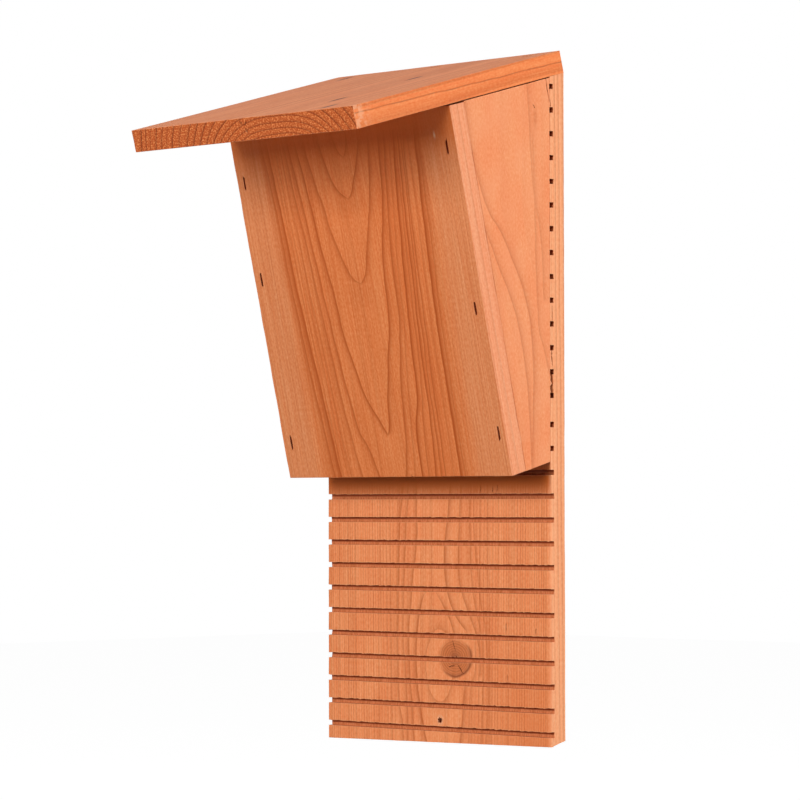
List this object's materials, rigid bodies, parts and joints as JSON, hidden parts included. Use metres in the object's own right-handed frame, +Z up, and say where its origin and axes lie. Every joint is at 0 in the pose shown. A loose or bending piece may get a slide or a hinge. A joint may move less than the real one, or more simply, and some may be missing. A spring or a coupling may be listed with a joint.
{
  "type": "bat box",
  "caption": "Wall-hung wooden bat box: a shallow roost chamber with a leaning front under a pitched roof, open below onto a landing board with sawn grip grooves.",
  "frame": {"origin": "on the wall face of the back board, at the middle of its bottom edge", "axes": "+X to the right of someone facing the box, +Y into the wall, +Z up"},
  "size_m": [0.18, 0.1686, 0.3976],
  "materials": {
    "back_board": "sawn and planed softwood, oiled, satin",
    "left_side": "sawn and planed softwood, oiled, satin",
    "right_side": "sawn and planed softwood, oiled, satin",
    "front_panel": "sawn and planed softwood, oiled, satin",
    "roof": "sawn and planed softwood, oiled, satin",
    "staple_wire": "galvanised wire, dull",
    "hanger_plate": "zinc plated",
    "hanger_screws": "zinc plated"
  },
  "bodies": {
    "root": {"back_board": "back_board", "left_side": "left_side", "right_side": "right_side", "front_panel": "front_panel", "roof": "roof", "front_staples_left": "staple_wire", "front_staples_right": "staple_wire", "roof_staples_left": "staple_wire", "roof_staples_right": "staple_wire", "roof_staples_back": "staple_wire", "back_staples_left": "staple_wire", "back_staples_right": "staple_wire", "hanger_plate": "hanger_plate", "hanger_screws": "hanger_screws"}
  },
  "joints": []
}
